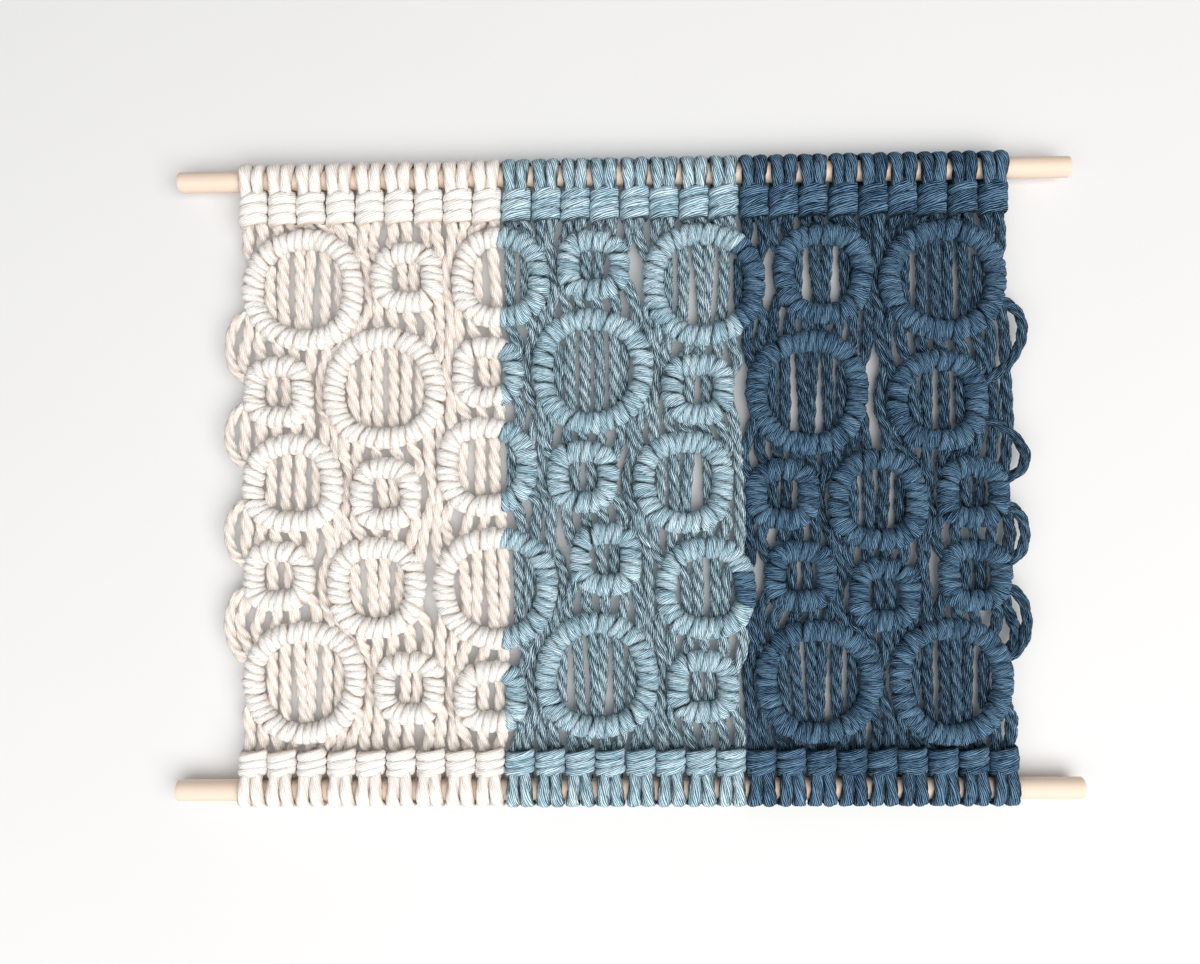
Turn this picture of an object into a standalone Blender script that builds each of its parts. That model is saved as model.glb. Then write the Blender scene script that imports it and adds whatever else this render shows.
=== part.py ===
"""Macrame wall hanging on two wooden dowels: three fields of cotton cord, each knotted on to the top dowel,
hitched round rings of holding cord on the way down, and knotted on to the bottom dowel.

+X runs along the dowels, -Y faces the room and +Z is up. The origin is the middle of the top dowel's axis.
Each field is one solid. Its cords hang as separate strands, and are fused where they are hitched on to a ring
(a ridged band) or knotted round a dowel (a ridged bar). Lengths are in millimetres until a mesh is finished.

A cord starts and ends at a socket: a four-sided face of a ring or a bar. The face is taken out, and the
strand's sides are sewn to its four edges, so that a field is one closed skin.
"""

import math

import bmesh
import bpy
from mathutils import Matrix, Vector

METRES_PER_MM = 0.001
BACKWARD = Vector((0, 1, 0))

# Driving sizes.
DOWEL_LENGTH = 406.0
DOWEL_RADIUS = 4.75
DOWEL_SPACING = 278.0
KNOT_PITCH = 13.45
CORD_WIDTH = 4.8
LOOP_THICKNESS = 3.4
HEADING_DEPTH = 20.5
FOOTING_DEPTH = 17.5
COLLAR_HALF_DEPTH = 6.3
COLLAR_WAIST = 0.6
COLLAR_ROUNDING = 2.5
KNOT_GROOVE = 1.0
BAND_HALF = 5.6
BAND_FACE_HALF = 2.8
BAND_SWELL = 0.06
PIECE_GAP = 0.3
STRAND_GAP = 0.4

LOOP_RADIUS = DOWEL_RADIUS + LOOP_THICKNESS
BORE_RADIUS = DOWEL_RADIUS + PIECE_GAP
ROUND_SIDES = 20
LOOP_ANGLES = (-8, 40, 90, 140, 188)

# The three fields of cord, from left to right.
FIELDS = (
    {"name": "cords_cream", "knots": 9, "colour": (0.87, 0.82, 0.77)},
    {"name": "cords_dusty_blue", "knots": 8, "colour": (0.25, 0.42, 0.51)},
    {"name": "cords_navy", "knots": 9, "colour": (0.035, 0.10, 0.19)},
)
BIRCH = (0.80, 0.68, 0.52)
KNOTTED_WIDTH = KNOT_PITCH * sum(field["knots"] for field in FIELDS)

# The band of hitches on a ring, in section: distance out from its middle line, and distance back.
# The sockets are its flat sides, one towards the hole and one away from it.
BAND_SECTION = (
    (BAND_HALF, -BAND_FACE_HALF),
    (0.0, -BAND_HALF),
    (-BAND_HALF, -BAND_FACE_HALF),
    (-BAND_HALF, BAND_FACE_HALF),
    (0.0, BAND_HALF),
    (BAND_HALF, BAND_FACE_HALF),
)
HOLE_SIDE = 2
OUTER_SIDE = 5

# Each size of ring: its outer radius, and how many ridges its hitches make.
RING_SIZES = {
    "small": {"radius": 17.6, "ridges": 7},
    "middle": {"radius": 24.0, "ridges": 10},
    "large": {"radius": 29.0, "ridges": 14},
}

# The rings, row by row: distance across from the left edge of the knotting, distance down from the heading,
# size, and the number of cords that float across the hole. The layout is a plain stagger of the three sizes.
RING_COLUMNS = ("across", "down", "size", "floats")
RINGS = (
    (29.5, 30.0, "large", 5),
    (77.0, 25.0, "small", 2),
    (120.0, 26.0, "middle", 3),
    (162.5, 21.0, "small", 2),
    (212.5, 30.0, "large", 5),
    (266.5, 26.0, "middle", 3),
    (320.5, 30.0, "large", 4),
    (18.0, 77.0, "small", 2),
    (66.5, 76.0, "large", 4),
    (114.0, 69.0, "small", 2),
    (161.5, 69.0, "large", 5),
    (209.5, 78.0, "small", 2),
    (259.0, 80.0, "large", 5),
    (317.0, 84.5, "middle", 3),
    (24.5, 119.0, "middle", 3),
    (67.0, 124.0, "small", 2),
    (113.0, 112.0, "middle", 3),
    (157.0, 117.0, "small", 2),
    (202.5, 120.0, "middle", 3),
    (247.0, 126.0, "small", 2),
    (289.5, 129.0, "middle", 3),
    (331.8, 126.0, "small", 2),
    (18.0, 161.0, "small", 2),
    (62.5, 166.5, "middle", 3),
    (117.0, 167.0, "large", 5),
    (167.0, 154.5, "small", 2),
    (212.0, 168.0, "middle", 3),
    (254.5, 163.0, "small", 2),
    (291.5, 171.5, "small", 2),
    (331.8, 163.0, "small", 2),
    (29.5, 209.0, "large", 4),
    (77.5, 212.0, "small", 2),
    (114.5, 216.0, "small", 2),
    (162.5, 207.0, "large", 4),
    (210.0, 212.0, "small", 2),
    (261.5, 210.0, "large", 5),
    (320.5, 210.0, "large", 4),
)
RING_UNEVENNESS = 0.012
RING_WANDER = 0.8

# A free strand: how far it may lean, how squarely it meets a ring, and how long it may be. A short strand has
# one waist, and a long one keeps its width. A link is a short stretch between rings that all but touch.
MOST_LEAN = 4.0
STEEPEST_LEAN = 1.2
LEAST_FACING = 0.55
SHORTEST_STRAND = 0.4
LONGEST_STRAND = 80.0
LONGEST_WITH_ONE_WAIST = 14.0
LEAST_WIDTH = 2.4
LONGEST_LINK = 3.5
LEAST_FACING_OF_A_LINK = 0.85
ROOT_LENGTH = 0.8
COST_OF_LENGTH = 0.1
LEVEL = 0.01
CLASH_STEPS = 8

# A float keeps inside this share of the hole's half width, and widens by this much from its root.
FLOAT_REACH = 0.88
FLOAT_WIDENING = 1.35

# The outermost cords swing out past the edge of the knotting between one edge ring and the next: how far
# they reach, how they leave a ring (across for each unit down), and where along them they are shaped.
SIDE_LOOP_REACH = 6.0
SIDE_LOOP_SLOPE = 2.5
SIDE_LOOP_STATIONS = (0.2, 0.5, 0.8)
EDGE_RING_REACH = 9.0


def rings_in_place():
    """The rings as the middle line of each band: centre, half width and half height. No two are alike."""
    placed = []
    for number, row in enumerate(RINGS):
        ring = dict(zip(RING_COLUMNS, row))
        size = RING_SIZES[ring["size"]]
        middle = size["radius"] - BAND_HALF * (1 + BAND_SWELL)
        uneven = RING_UNEVENNESS * math.sin(2.4 * number)
        across = ring["across"] - KNOTTED_WIDTH / 2
        back = RING_WANDER * math.sin(1.7 * number)
        placed.append(
            {
                "centre": Vector((across, back, -HEADING_DEPTH - ring["down"])),
                "half_width": middle * (1 + uneven),
                "half_height": middle * (1 - uneven),
                "outer": size["radius"] * (1 + RING_UNEVENNESS),
                "stations": 2 * size["ridges"],
                "floats": ring["floats"],
            }
        )
    return placed


def join_rows(mesh, rows, closed):
    """Skins a list of rows of vertices, each row a closed loop. Returns the faces, row by row."""
    faces = []
    for row, following in zip(rows, rows[1:] + rows[:1] if closed else rows[1:]):
        skin = []
        for i in range(len(row)):
            j = (i + 1) % len(row)
            skin.append(mesh.faces.new((row[i], row[j], following[j], following[i])))
        faces.append(skin)
    return faces


def middle_of(face):
    return sum((corner.co for corner in face.verts), Vector()) / len(face.verts)


def socket(face, owner):
    """A face that a cord can leave from, with the way it faces and its width in the plane of the hanging."""
    place = middle_of(face)
    outward = Vector((face.normal.x, 0, face.normal.z)).normalized()
    across = outward.cross(BACKWARD)
    offsets = [(corner.co - place).dot(across) for corner in face.verts]
    width = max(offsets) - min(offsets)
    return {"face": face, "place": place, "out": outward, "width": width, "owner": owner}


def add_ring(mesh, ring, owner):
    """One ridged ring. Returns the sockets of its hole, by steps clockwise from the top, and its outer ones."""
    rows = []
    for station in range(ring["stations"]):
        angle = math.tau * (station - 0.5) / ring["stations"]
        swell = 1 + BAND_SWELL * (-1) ** station
        row = []
        for out, back in BAND_SECTION:
            x = (ring["half_width"] + out * swell) * math.sin(angle)
            z = (ring["half_height"] + out * swell) * math.cos(angle)
            row.append(mesh.verts.new(ring["centre"] + Vector((x, back * swell, z))))
        rows.append(row)
    faces = join_rows(mesh, rows, closed=True)
    bmesh.ops.recalc_face_normals(mesh, faces=[face for row in faces for face in row])
    hole = {steps: socket(row[HOLE_SIDE], owner) for steps, row in enumerate(faces)}
    outer = [socket(row[OUTER_SIDE], owner) for row in faces]
    return hole, outer


def cut_to_field(mesh, left, right):
    """Cuts the rings that cross into a neighbouring field, and closes the cuts."""
    for place, outward in ((left, -1), (right, 1)):
        bmesh.ops.bisect_plane(
            mesh,
            geom=mesh.verts[:] + mesh.edges[:] + mesh.faces[:],
            dist=0.0001,
            plane_co=(place, 0, 0),
            plane_no=(outward, 0, 0),
            clear_outer=True,
        )
        rim = [edge for edge in mesh.edges if edge.is_boundary]
        if rim:
            bmesh.ops.holes_fill(mesh, edges=rim)


def still_whole(item):
    """Whether a socket's face came through the cutting untouched."""
    face = item["face"]
    if not face.is_valid or len(face.verts) != 4:
        return False
    return (middle_of(face) - item["place"]).length < PIECE_GAP / 10


def bar_section(groove, collar_depth):
    """The outline of a ridged bar, from its end, with the collar below the dowel: distance back and up."""
    radius = LOOP_RADIUS - groove
    half = COLLAR_HALF_DEPTH - groove
    waist = half - COLLAR_WAIST
    rounded = collar_depth - COLLAR_ROUNDING
    turns = [math.radians(angle) for angle in LOOP_ANGLES]
    loop = [(radius * math.cos(turn), radius * math.sin(turn)) for turn in turns]
    front = [(-waist, -LOOP_RADIUS), (-half, -rounded), (-BAND_FACE_HALF, -collar_depth)]
    back = [(-depth, height) for depth, height in reversed(front)]
    return loop + front + back


def add_bar(mesh, left, right, knots, axis_height, collar_depth, up, owner):
    """A ridged bar: loops round a dowel, a bore for the dowel, and the knots' collars to one side.

    up is 1 where the collars hang below the dowel, and -1 where they stand above it. Returns the sockets.
    """
    rows = []
    for station in range(2 * knots + 1):
        x = left + (right - left) * station / (2 * knots)
        groove = KNOT_GROOVE if station % 2 == 0 else 0.0
        section = bar_section(groove, collar_depth)
        rows.append([mesh.verts.new((x, y, axis_height + up * z)) for y, z in section])
    skin = join_rows(mesh, rows, closed=False)
    bore = []
    for x in (left, right):
        row = []
        for side in range(ROUND_SIDES):
            turn = math.tau * side / ROUND_SIDES
            place = (x, BORE_RADIUS * math.cos(turn), axis_height + BORE_RADIUS * math.sin(turn))
            row.append(mesh.verts.new(place))
        bore.append(row)
    join_rows(mesh, bore, closed=False)
    for outline, opening in ((rows[0], bore[0]), (rows[-1], bore[1])):
        rim = []
        for loop in (outline, opening):
            rim += [mesh.edges.get(ends) for ends in zip(loop, loop[1:] + loop[:1])]
        bmesh.ops.triangle_fill(mesh, edges=rim)
    bmesh.ops.recalc_face_normals(mesh, faces=mesh.faces[:])
    underside = len(LOOP_ANGLES) + 2
    return [socket(row[underside], owner) for row in skin]


def corners_of(item, along):
    """A socket's four corners, in the order in which section_corners gives a strand's."""
    side = along.cross(BACKWARD)
    across = sorted(item["face"].verts, key=lambda corner: (corner.co - item["place"]).dot(side))
    near, far = (sorted(pair, key=lambda corner: corner.co.y) for pair in (across[:2], across[2:]))
    return [near[0], far[0], far[1], near[1]]


def section_corners(mesh, place, along, width):
    side = along.cross(BACKWARD) * width / 2
    back = BACKWARD * CORD_WIDTH / 2
    return [mesh.verts.new(place + side * a + back * b) for a, b in ((-1, -1), (1, -1), (1, 1), (-1, 1))]


def add_strand(mesh, start, end, sections):
    """Runs a strand from one socket to another, through sections given as place, direction and width."""
    rows = [corners_of(start, start["out"])]
    rows += [section_corners(mesh, place, along, width) for place, along, width in sections]
    rows.append(corners_of(end, -end["out"]))
    bmesh.ops.delete(mesh, geom=[start["face"], end["face"]], context="FACES_ONLY")
    join_rows(mesh, rows, closed=False)


def add_floats(mesh, ring, hole, left, right):
    """The cords that cross a ring's hole, from its upper edge to its lower one."""
    inner = min(ring["half_width"], ring["half_height"]) - BAND_HALF * (1 + BAND_SWELL)
    for steps in range(1 - ring["floats"], ring["floats"], 2):
        upper = hole[steps % ring["stations"]]
        lower = hole[(ring["stations"] // 2 - steps) % ring["stations"]]
        if not (still_whole(upper) and still_whole(lower)):
            continue
        offset = abs(upper["place"].x - ring["centre"].x)
        width = min(CORD_WIDTH, 2 * (FLOAT_REACH * inner - offset), FLOAT_WIDENING * upper["width"])
        if min(upper["place"].x - left, right - upper["place"].x) < width / 2 + PIECE_GAP:
            continue
        drop = math.sqrt(inner**2 - (offset + width / 2 + PIECE_GAP) ** 2)
        sections = []
        for item, rise in ((upper, drop), (lower, -drop)):
            place = Vector((item["place"].x, ring["centre"].y, ring["centre"].z + rise))
            sections.append((place, Vector((0, 0, -1)), width))
        add_strand(mesh, upper, lower, sections)


def distance_to_line(point, start, end):
    """The shortest distance, in the plane of the hanging, from a point to the line between two others."""
    offset = point - start
    run = end - start
    offset.y = 0
    run.y = 0
    share = max(0.0, min(1.0, offset.dot(run) / run.length_squared))
    return (offset - run * share).length


def strand_between(upper, lower, rings):
    """A strand from a socket that faces down to one that faces up, or None if no cord would hang there."""
    start = upper["place"]
    end = lower["place"]
    run = end - start
    along = run.normalized()
    facing = (along.dot(upper["out"]), -along.dot(lower["out"]))
    roots = (facing[0] * upper["width"], facing[1] * lower["width"])
    width = min(CORD_WIDTH, min(roots) - STRAND_GAP)
    hangs = run.z < -SHORTEST_STRAND and abs(run.x) < min(MOST_LEAN, STEEPEST_LEAN * -run.z)
    links = run.length < LONGEST_LINK and min(facing) > LEAST_FACING_OF_A_LINK
    if not (hangs or links) or min(facing) < LEAST_FACING:
        return None
    if width < LEAST_WIDTH or run.length > LONGEST_STRAND:
        return None
    for number, ring in enumerate(rings):
        passed_by = number not in (upper["owner"], lower["owner"])
        if passed_by and distance_to_line(ring["centre"], start, end) < ring["outer"] + width / 2 + PIECE_GAP:
            return None
    clear = [ROOT_LENGTH + width / 2 * math.tan(math.acos(min(1.0, square))) for square in facing]
    sections = []
    if run.length > max(sum(clear) + SHORTEST_STRAND, LONGEST_WITH_ONE_WAIST):
        sections = [(start + along * clear[0], along, width), (end - along * clear[1], along, width)]
    elif run.length > sum(clear) + SHORTEST_STRAND:
        sections = [(start.lerp(end, clear[0] / sum(clear)), along, width)]
    elif min(facing) < LEAST_FACING_OF_A_LINK:
        return None
    return {
        "sockets": (upper, lower),
        "owners": (upper["owner"], lower["owner"]),
        "roots": roots,
        "width": width,
        "sections": sections,
        "cost": abs(run.x) + COST_OF_LENGTH * run.length,
    }


def strands_clash(one, other):
    """Whether two strands would touch, share a socket, or be two short links between the same rings."""
    if any(mine is theirs for mine in one["sockets"] for theirs in other["sockets"]):
        return True
    if not one["sections"] and not other["sections"] and one["owners"] == other["owners"]:
        return True
    for near, far in ((one, other), (other, one)):
        start, end = (item["place"] for item in near["sockets"])
        line = [item["place"] for item in far["sockets"]]
        roots = {0: near["roots"][0], CLASH_STEPS: near["roots"][1]}
        for step in range(CLASH_STEPS + 1):
            point = start.lerp(end, step / CLASH_STEPS)
            width = roots.get(step, near["width"] + 2 * PIECE_GAP)
            if distance_to_line(point, *line) < (width + far["width"]) / 2:
                return True
    return False


def add_strands(mesh, rings, sockets):
    """The free cords between the bars and the rings: the straightest first, wherever there is room."""
    facing_down = [item for item in sockets if item["out"].z < LEVEL]
    facing_up = [item for item in sockets if item["out"].z > -LEVEL]
    found = []
    for upper in facing_down:
        for lower in facing_up:
            if lower["owner"] != upper["owner"]:
                found.append(strand_between(upper, lower, rings))
    hung = []
    for strand in sorted(filter(None, found), key=lambda strand: strand["cost"]):
        if not any(strands_clash(strand, other) for other in hung):
            hung.append(strand)
    for strand in hung:
        add_strand(mesh, *strand["sockets"], strand["sections"])


def add_side_loops(mesh, rings, sockets, side):
    """The loops down one edge, side being -1 at the left and 1 at the right. Returns the unused sockets."""
    edge = side * KNOTTED_WIDTH / 2
    reach = edge + side * (SIDE_LOOP_REACH - CORD_WIDTH / 2)
    by_edge = [n for n, r in enumerate(rings) if side * (edge - r["centre"].x) < r["outer"] + EDGE_RING_REACH]
    by_edge.sort(key=lambda number: -rings[number]["centre"].z)
    used = []
    for upper_ring, lower_ring in zip(by_edge, by_edge[1:]):
        ends = []
        for number, down in ((upper_ring, -1), (lower_ring, 1)):
            wanted = Vector((side * SIDE_LOOP_SLOPE, 0, down)).normalized()
            own = [item for item in sockets if item["owner"] == number]
            ends.append(max(own, key=lambda item: item["out"].dot(wanted)))
        upper, lower = ends
        across = (upper["place"].x + lower["place"].x, upper["out"].x + lower["out"].x)
        handle = (8 * reach - 4 * across[0]) / (3 * across[1])
        first = upper["place"]
        second = upper["place"] + upper["out"] * handle
        third = lower["place"] + lower["out"] * handle
        fourth = lower["place"]
        sections = []
        for share in SIDE_LOOP_STATIONS:
            early = first.lerp(second, share).lerp(second.lerp(third, share), share)
            late = second.lerp(third, share).lerp(third.lerp(fourth, share), share)
            sections.append((early.lerp(late, share), (late - early).normalized(), CORD_WIDTH))
        add_strand(mesh, upper, lower, sections)
        used += ends
    return [item for item in sockets if item not in used]


def plain_material(name, colour, roughness):
    material = bpy.data.materials.new(name)
    material.use_nodes = True
    shader = material.node_tree.nodes["Principled BSDF"]
    shader.inputs["Base Color"].default_value = (*colour, 1)
    shader.inputs["Roughness"].default_value = roughness
    shader.inputs["Metallic"].default_value = 0.0
    return material


def finish(mesh, name, material, height=0.0):
    """Turns a mesh in millimetres into an object in metres, at a height on the part's own upright axis."""
    bmesh.ops.scale(mesh, vec=(METRES_PER_MM,) * 3, verts=mesh.verts)
    bmesh.ops.recalc_face_normals(mesh, faces=mesh.faces[:])
    data = bpy.data.meshes.new(name)
    mesh.to_mesh(data)
    mesh.free()
    data.materials.append(material)
    built = bpy.data.objects.new(name, data)
    built.location.z = METRES_PER_MM * height
    bpy.context.collection.objects.link(built)
    return built


def build_field(field, left, right, rings):
    """One field of cord, as one solid between its two edges."""
    mesh = bmesh.new()
    holes = {}
    outer = []
    for number, ring in enumerate(rings):
        if abs(ring["centre"].x - (left + right) / 2) < ring["outer"] + (right - left) / 2:
            holes[number], outside = add_ring(mesh, ring, number)
            outer += outside
    cut_to_field(mesh, left, right)
    outer = [item for item in outer if still_whole(item)]
    heading = add_bar(mesh, left, right, field["knots"], 0.0, HEADING_DEPTH, 1, "heading")
    footing = add_bar(mesh, left, right, field["knots"], -DOWEL_SPACING, FOOTING_DEPTH, -1, "footing")
    for number, hole in holes.items():
        add_floats(mesh, rings[number], hole, left, right)
    if field is FIELDS[0]:
        outer = add_side_loops(mesh, rings, outer, -1)
    if field is FIELDS[-1]:
        outer = add_side_loops(mesh, rings, outer, 1)
    add_strands(mesh, rings, heading + footing + outer)
    finish(mesh, field["name"], plain_material(field["name"], field["colour"], 0.9))


def build_dowel(name, height):
    mesh = bmesh.new()
    bmesh.ops.create_cone(
        mesh,
        cap_ends=True,
        segments=ROUND_SIDES,
        radius1=DOWEL_RADIUS,
        radius2=DOWEL_RADIUS,
        depth=DOWEL_LENGTH,
        matrix=Matrix.Rotation(math.pi / 2, 4, "Y"),
    )
    dowel = finish(mesh, name, plain_material(name, BIRCH, 0.6), height)
    dowel.data.shade_smooth()
    dowel.data.set_sharp_from_angle(angle=math.radians(40))


def build_hanging():
    for old in list(bpy.data.objects):
        bpy.data.objects.remove(old)
    rings = rings_in_place()
    edge = -KNOTTED_WIDTH / 2
    for field in FIELDS:
        left = edge + PIECE_GAP / 2
        edge += KNOT_PITCH * field["knots"]
        build_field(field, left, edge - PIECE_GAP / 2, rings)
    build_dowel("dowel_top", 0.0)
    build_dowel("dowel_bottom", -DOWEL_SPACING)


build_hanging()
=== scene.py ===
"""The looks of a macrame wall hanging on two birch dowels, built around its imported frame.

+X runs along the dowels, -Y faces the room and +Z is up. The origin is the middle of the top dowel's axis.
Sizes are in millimetres until a piece is finished. The file follows the hanging as it is knotted.
"""

import math
import random

import bpy
import numpy as np
from mathutils import Matrix, Vector


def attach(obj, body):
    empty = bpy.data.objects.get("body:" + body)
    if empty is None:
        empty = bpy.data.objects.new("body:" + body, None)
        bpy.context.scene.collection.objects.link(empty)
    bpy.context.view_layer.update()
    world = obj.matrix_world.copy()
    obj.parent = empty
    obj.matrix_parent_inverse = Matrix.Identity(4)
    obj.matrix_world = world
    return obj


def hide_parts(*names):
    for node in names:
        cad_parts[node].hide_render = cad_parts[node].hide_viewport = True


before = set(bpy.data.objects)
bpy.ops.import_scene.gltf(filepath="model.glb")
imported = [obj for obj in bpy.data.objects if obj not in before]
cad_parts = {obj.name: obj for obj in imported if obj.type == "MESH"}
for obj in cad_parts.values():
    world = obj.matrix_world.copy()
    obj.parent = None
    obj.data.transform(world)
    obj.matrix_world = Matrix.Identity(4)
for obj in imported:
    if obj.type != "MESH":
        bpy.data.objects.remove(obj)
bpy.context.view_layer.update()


# --------------------------------------------------------------------------------------------------
# The two dowels: stock 3/8 in birch rod, 16 in long, sanded and left bare. The saw cuts are a little
# off square and their arris is eased. The top one carries the hanging, and the bottom one's weight
# keeps it flat.
# --------------------------------------------------------------------------------------------------
METRES_PER_MM = 0.001
DOWEL_LENGTH = 406.0
DOWEL_RADIUS = 4.75
DOWEL_SPACING = 278.0
DOWEL_SIDES = 48
EASED_ARRIS = 0.5
ARRIS_ROUNDING = 0.3
BARREL_FROM = 4 * EASED_ARRIS
SHARP_EDGE = math.radians(35)
SKEWED_CUT = 1.1
SQUARER_CUT = 0.3
BIRCH_LIGHT = (0.745, 0.62, 0.51)
BIRCH_DARK = (0.64, 0.49, 0.375)
BIRCH_END = (0.78, 0.66, 0.50)
# How fine each noise is: along the dowel, then across it.
GROWTH_STRETCH = (9.0, 260.0, 260.0)
GRAIN_STRETCH = (60.0, 2600.0, 2600.0)
FLECK_STRETCH = (220.0, 3400.0, 3400.0)


class Reading:
    """One output of a material's node. Arithmetic on it adds Math nodes."""

    def __init__(self, finish, socket):
        self.finish = finish
        self.socket = socket

    def __add__(self, other):
        return self.finish.reckon("ADD", self, other)

    def __radd__(self, other):
        return self.finish.reckon("ADD", other, self)

    def __sub__(self, other):
        return self.finish.reckon("SUBTRACT", self, other)

    def __rsub__(self, other):
        return self.finish.reckon("SUBTRACT", other, self)

    def __mul__(self, other):
        return self.finish.reckon("MULTIPLY", self, other)

    def __rmul__(self, other):
        return self.finish.reckon("MULTIPLY", other, self)

    def sine(self):
        return self.finish.reckon("SINE", self)

    def cosine(self):
        return self.finish.reckon("COSINE", self)

    def angle_from(self, across):
        """The angle whose sine goes with this reading and whose cosine goes with across."""
        return self.finish.reckon("ARCTAN2", self, across)

    def step(self, low, high):
        """0 below low, 1 above high, and smooth between."""
        sockets = {"Value": self, "From Min": low, "From Max": high}
        return self.finish.node("ShaderNodeMapRange", {"interpolation_type": "SMOOTHSTEP"}, sockets)


class Finish:
    """A material made of one Principled shader and the nodes that feed it."""

    def __init__(self, name, constants):
        self.material = bpy.data.materials.new(name)
        self.material.use_nodes = True
        self.tree = self.material.node_tree
        self.shader = self.tree.nodes["Principled BSDF"]
        for socket, value in constants.items():
            self.shader.inputs[socket].default_value = value

    def node(self, kind, settings, sockets, output=0):
        """Adds a node, sets what it is, then gives its sockets their values or links."""
        made = self.tree.nodes.new(kind)
        for setting, value in settings.items():
            setattr(made, setting, value)
        for key, value in sockets.items():
            if isinstance(value, Reading):
                self.tree.links.new(value.socket, made.inputs[key])
            else:
                made.inputs[key].default_value = value
        return Reading(self, made.outputs[output])

    def reckon(self, operation, *terms):
        return self.node("ShaderNodeMath", {"operation": operation}, dict(enumerate(terms)))

    def mixed(self, share, first, second):
        """Two colours mixed. A share of 0 gives the first."""
        colours = [(*colour, 1.0) if isinstance(colour, tuple) else colour for colour in (first, second)]
        sockets = {0: share, 6: colours[0], 7: colours[1]}
        return self.node("ShaderNodeMix", {"data_type": "RGBA"}, sockets, output=2)

    def axes_of(self, vector):
        return [self.node("ShaderNodeSeparateXYZ", {}, {0: vector}, output=axis) for axis in range(3)]

    def noise(self, place, stretch, detail=2.0, roughness=0.5):
        """Noise that is finer along the axes with the larger stretch."""
        stretched = self.node("ShaderNodeMapping", {}, {"Vector": place, "Scale": stretch})
        sockets = {"Vector": stretched, "Scale": 1.0, "Detail": detail, "Roughness": roughness}
        return self.node("ShaderNodeTexNoise", {}, sockets)

    def feed(self, socket, reading):
        self.tree.links.new(reading.socket, self.shader.inputs[socket])

    def raise_by(self, height, distance, strength):
        """Raises the surface by a height of 0 to 1, over a distance in metres."""
        sockets = {"Strength": strength, "Distance": distance, "Height": height}
        self.feed("Normal", self.node("ShaderNodeBump", {}, sockets))


def birch():
    """Pale birch: fine grain along the rod, faint growth bands, short dark flecks and a plain cut end."""
    finish = Finish("sanded_birch", {"Specular IOR Level": 0.35})
    place = finish.node("ShaderNodeTexCoord", {}, {}, output=3)
    bands = finish.noise(place, GROWTH_STRETCH, detail=3.0)
    grain = finish.noise(place, GRAIN_STRETCH, detail=4.0, roughness=0.65)
    flecks = finish.noise(place, FLECK_STRETCH).step(0.62, 0.74)
    facing = finish.axes_of(finish.node("ShaderNodeNewGeometry", {}, {}, output=1))[0]
    cut_end = (facing * facing).step(0.5, 0.8)
    wood = finish.mixed(bands * 0.55 + grain * 0.35, BIRCH_LIGHT, BIRCH_DARK)
    wood = finish.mixed(flecks * 0.35, wood, BIRCH_DARK)
    finish.feed("Base Color", finish.mixed(cut_end * 0.6, wood, BIRCH_END))
    finish.feed("Roughness", 0.5 + 0.2 * grain)
    finish.raise_by(grain, distance=0.00012, strength=0.35)
    return finish.material


def skin_of_rows(lines, sides, closed):
    """Faces over rows of points, each row a closed ring. closed says that the last row meets the first."""
    along = np.arange(lines if closed else lines - 1)[:, None]
    side = np.arange(sides)[None, :]
    after = (along + 1) % lines
    beside = (side + 1) % sides
    near = (along * sides + side, along * sides + beside)
    far = (after * sides + beside, after * sides + side)
    return np.stack(np.broadcast_arrays(*near, *far), axis=-1).reshape(-1, 4)


def end_faces(lines, sides):
    """The two faces that close the ends of rows of points."""
    ring = np.arange(sides)
    return np.stack([ring[::-1], (lines - 1) * sides + ring])


def mesh_of(name, points, quads, ends):
    """A mesh in metres from points in millimetres, its four-sided faces and its end faces."""
    data = bpy.data.meshes.new(name)
    data.vertices.add(len(points))
    data.vertices.foreach_set("co", (points * METRES_PER_MM).astype(np.float32).ravel())
    data.loops.add(quads.size + ends.size)
    data.loops.foreach_set("vertex_index", np.concatenate([quads.ravel(), ends.ravel()]).astype(np.int32))
    starts = np.concatenate([np.arange(len(quads)) * 4, quads.size + np.arange(len(ends)) * ends.shape[1]])
    data.polygons.add(len(starts))
    data.polygons.foreach_set("loop_start", starts.astype(np.int32))
    data.update(calc_edges=True)
    data.shade_smooth()
    return data


def hang(data, name, material, node):
    """Hangs a finished mesh in the place of a CAD node."""
    piece = bpy.data.objects.new(name, data)
    bpy.context.scene.collection.objects.link(piece)
    data.materials.append(material)
    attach(piece, "root")
    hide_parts(node)


def turn_dowel(name, height, cuts, material, node):
    """A rod with a cut of its own at each end: the cut face, an eased arris and a plain barrel."""
    half = DOWEL_LENGTH / 2
    rounded = ARRIS_ROUNDING * EASED_ARRIS
    profile = (
        (half, DOWEL_RADIUS - EASED_ARRIS),
        (half - rounded, DOWEL_RADIUS - rounded),
        (half - EASED_ARRIS, DOWEL_RADIUS),
        (half - BARREL_FROM, DOWEL_RADIUS),
    )
    stations = [(-place, radius, cuts[0]) for place, radius in profile]
    stations += [(place, radius, -cuts[1]) for place, radius in reversed(profile)]
    turns = np.linspace(0, math.tau, DOWEL_SIDES, endpoint=False)
    rows = []
    for place, radius, cut in stations:
        x = place + cut * (1 + np.cos(turns)) / 2
        rows.append(np.stack([x, radius * np.cos(turns), height - radius * np.sin(turns)], axis=1))
    quads = skin_of_rows(len(rows), DOWEL_SIDES, closed=False)
    data = mesh_of(name, np.concatenate(rows), quads, end_faces(len(rows), DOWEL_SIDES))
    data.set_sharp_from_angle(angle=SHARP_EDGE)
    hang(data, name, material, node)


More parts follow.
